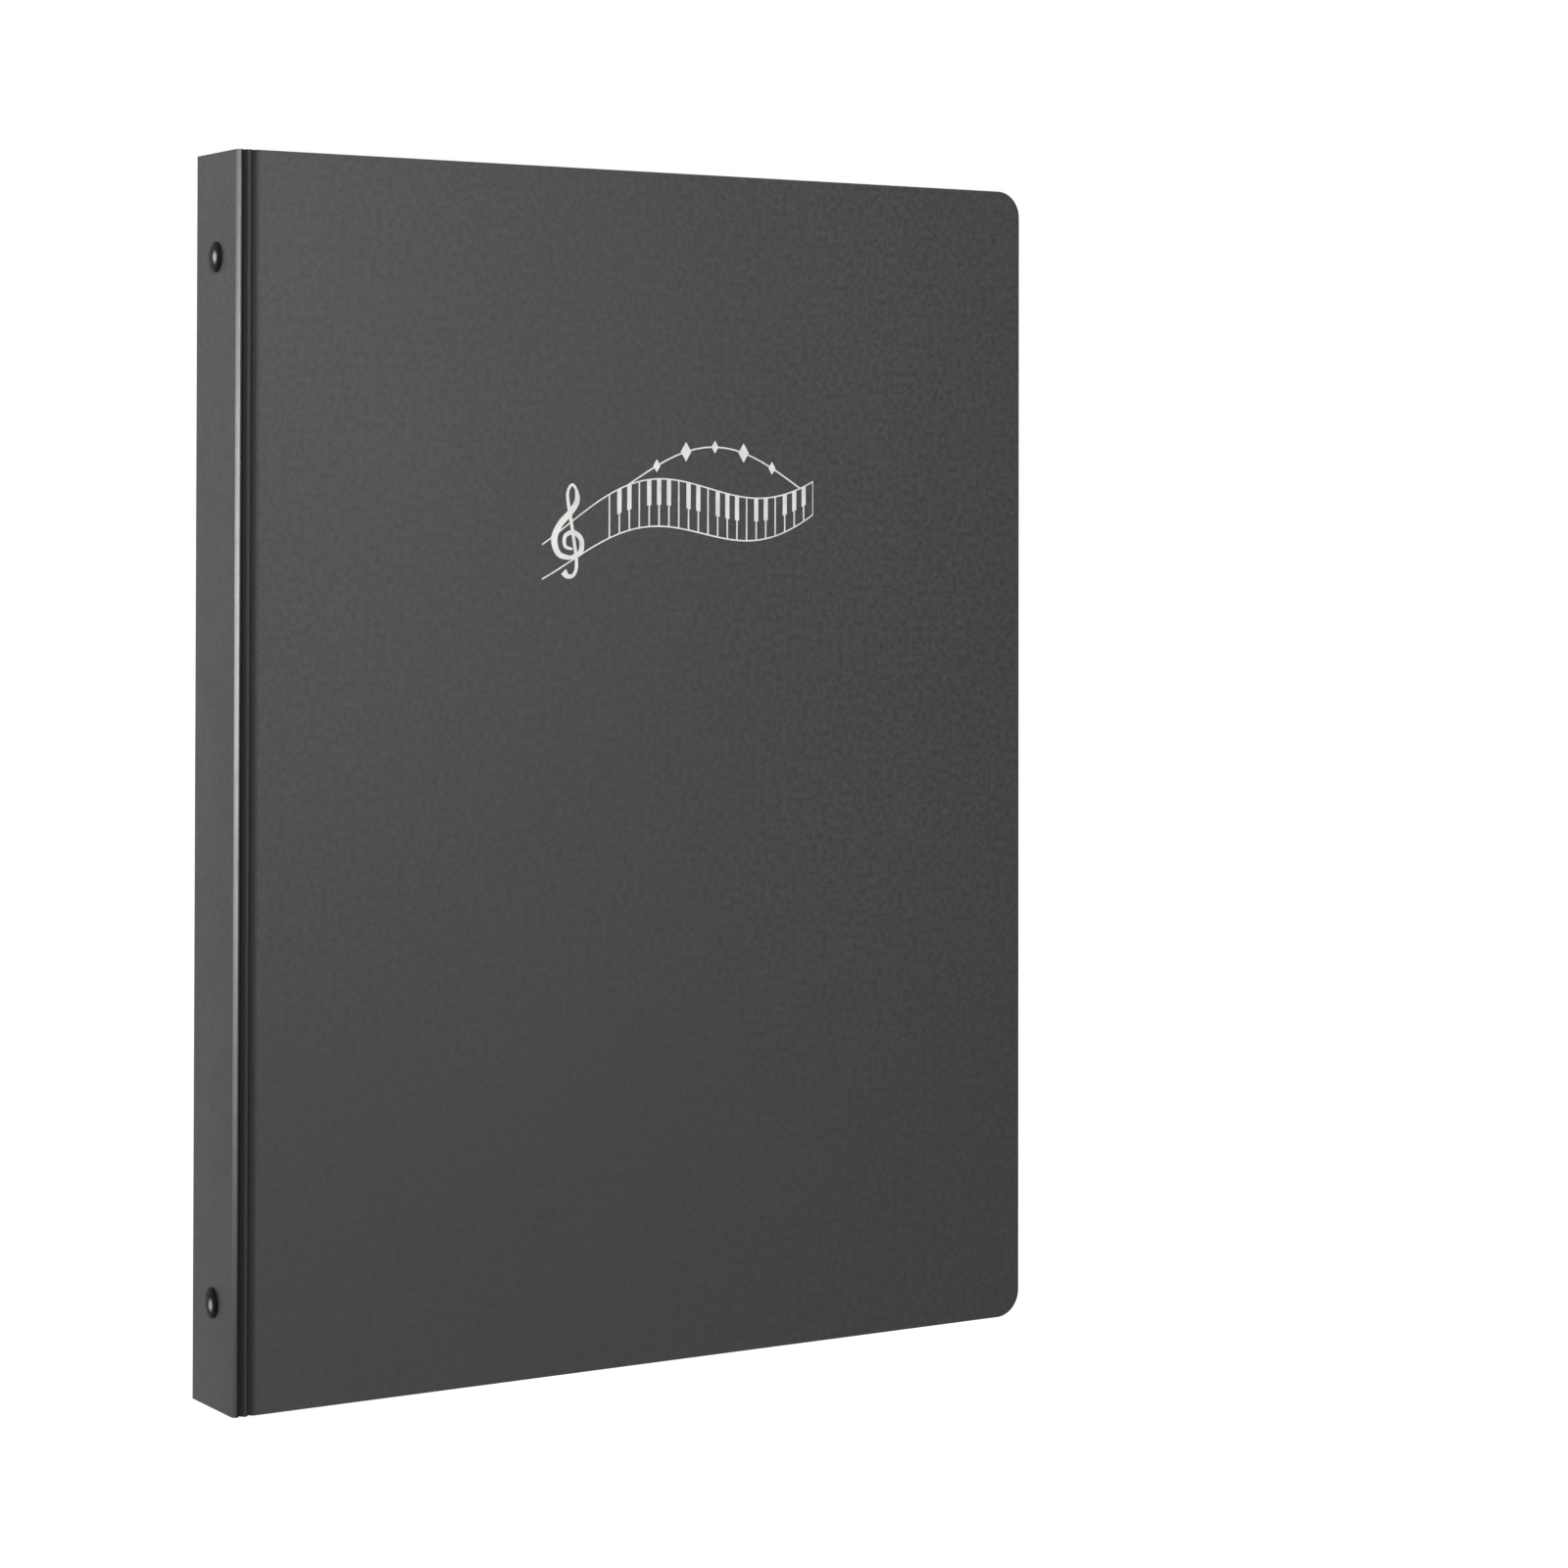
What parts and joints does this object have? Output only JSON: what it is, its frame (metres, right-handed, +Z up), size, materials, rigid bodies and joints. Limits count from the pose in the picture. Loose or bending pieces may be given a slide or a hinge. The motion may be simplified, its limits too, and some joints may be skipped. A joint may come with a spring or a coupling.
{
  "type": "ring binder",
  "caption": "A4 music folder of black plastic sheet with folding covers, a riveted ring mechanism with levers, and a silver keyboard print on the front.",
  "frame": {"origin": "middle of the bottom of the standing folder, rivet heads and print included", "axes": "+Z up along the spine's height, -X out of the spine, +X to the fore-edges, -Y out of the front cover"},
  "size_m": [0.2352, 0.0262, 0.31],
  "materials": {
    "cover_sheet": "black sheet with a fine leather grain",
    "silver_print": "silver foil print",
    "rivet_black": "glossy black rivet",
    "nickel_steel": "nickel-plated steel"
  },
  "bodies": {
    "spine": {"spine_panel": "cover_sheet", "ring_housing": "nickel_steel", "bottom_rivet": "rivet_black", "top_rivet": "rivet_black", "bottom_lever_pin": "nickel_steel", "top_lever_pin": "nickel_steel"},
    "front_rib": {"front_crease_rib": "cover_sheet"},
    "front_board": {"front_cover": "cover_sheet", "cover_print": "silver_print"},
    "back_rib": {"back_crease_rib": "cover_sheet"},
    "back_board": {"back_cover": "cover_sheet"},
    "front_jaw": {"front_blade": "nickel_steel", "front_ring_1": "nickel_steel", "front_ring_2": "nickel_steel", "front_ring_3": "nickel_steel", "front_ring_4": "nickel_steel"},
    "back_jaw": {"back_blade": "nickel_steel", "back_ring_1": "nickel_steel", "back_ring_2": "nickel_steel", "back_ring_3": "nickel_steel", "back_ring_4": "nickel_steel"},
    "top_lever": {"top_lever": "nickel_steel"},
    "bottom_lever": {"bottom_lever": "nickel_steel"}
  },
  "joints": [
    {"name": "front_spine_crease", "type": "hinge", "parent": "spine", "child": "front_rib", "pos_m": [-0.1144, -0.01214, 0.155], "axis": [0, 0, -1], "range_deg": [0, 80]},
    {"name": "front_cover_crease", "type": "hinge", "parent": "front_rib", "child": "front_board", "pos_m": [-0.112, -0.01214, 0.155], "axis": [0, 0, -1], "range_deg": [0, 80]},
    {"name": "back_spine_crease", "type": "hinge", "parent": "spine", "child": "back_rib", "pos_m": [-0.1144, 0.01226, 0.155], "axis": [0, 0, 1], "range_deg": [0, 80]},
    {"name": "back_cover_crease", "type": "hinge", "parent": "back_rib", "child": "back_board", "pos_m": [-0.112, 0.01226, 0.155], "axis": [0, 0, 1], "range_deg": [0, 80]},
    {"name": "front_rings_open", "type": "hinge", "parent": "spine", "child": "front_jaw", "pos_m": [-0.1125, -0.00794, 0.155], "axis": [0, 0, -1], "range_deg": [0, 12]},
    {"name": "back_rings_open", "type": "hinge", "parent": "spine", "child": "back_jaw", "pos_m": [-0.1125, 0.00806, 0.155], "axis": [0, 0, 1], "range_deg": [0, 12]},
    {"name": "top_lever_turn", "type": "hinge", "parent": "spine", "child": "top_lever", "pos_m": [-0.11205, 0.00006, 0.2945], "axis": [0, -1, 0], "range_deg": [0, 21]},
    {"name": "bottom_lever_turn", "type": "hinge", "parent": "spine", "child": "bottom_lever", "pos_m": [-0.11205, 0.00006, 0.0155], "axis": [0, 1, 0], "range_deg": [0, 21]}
  ],
  "couplings": [
    {"joint": "back_rings_open", "follows": "front_rings_open", "ratio": 1},
    {"joint": "top_lever_turn", "follows": "front_rings_open", "ratio": 1.75},
    {"joint": "bottom_lever_turn", "follows": "front_rings_open", "ratio": 1.75}
  ]
}
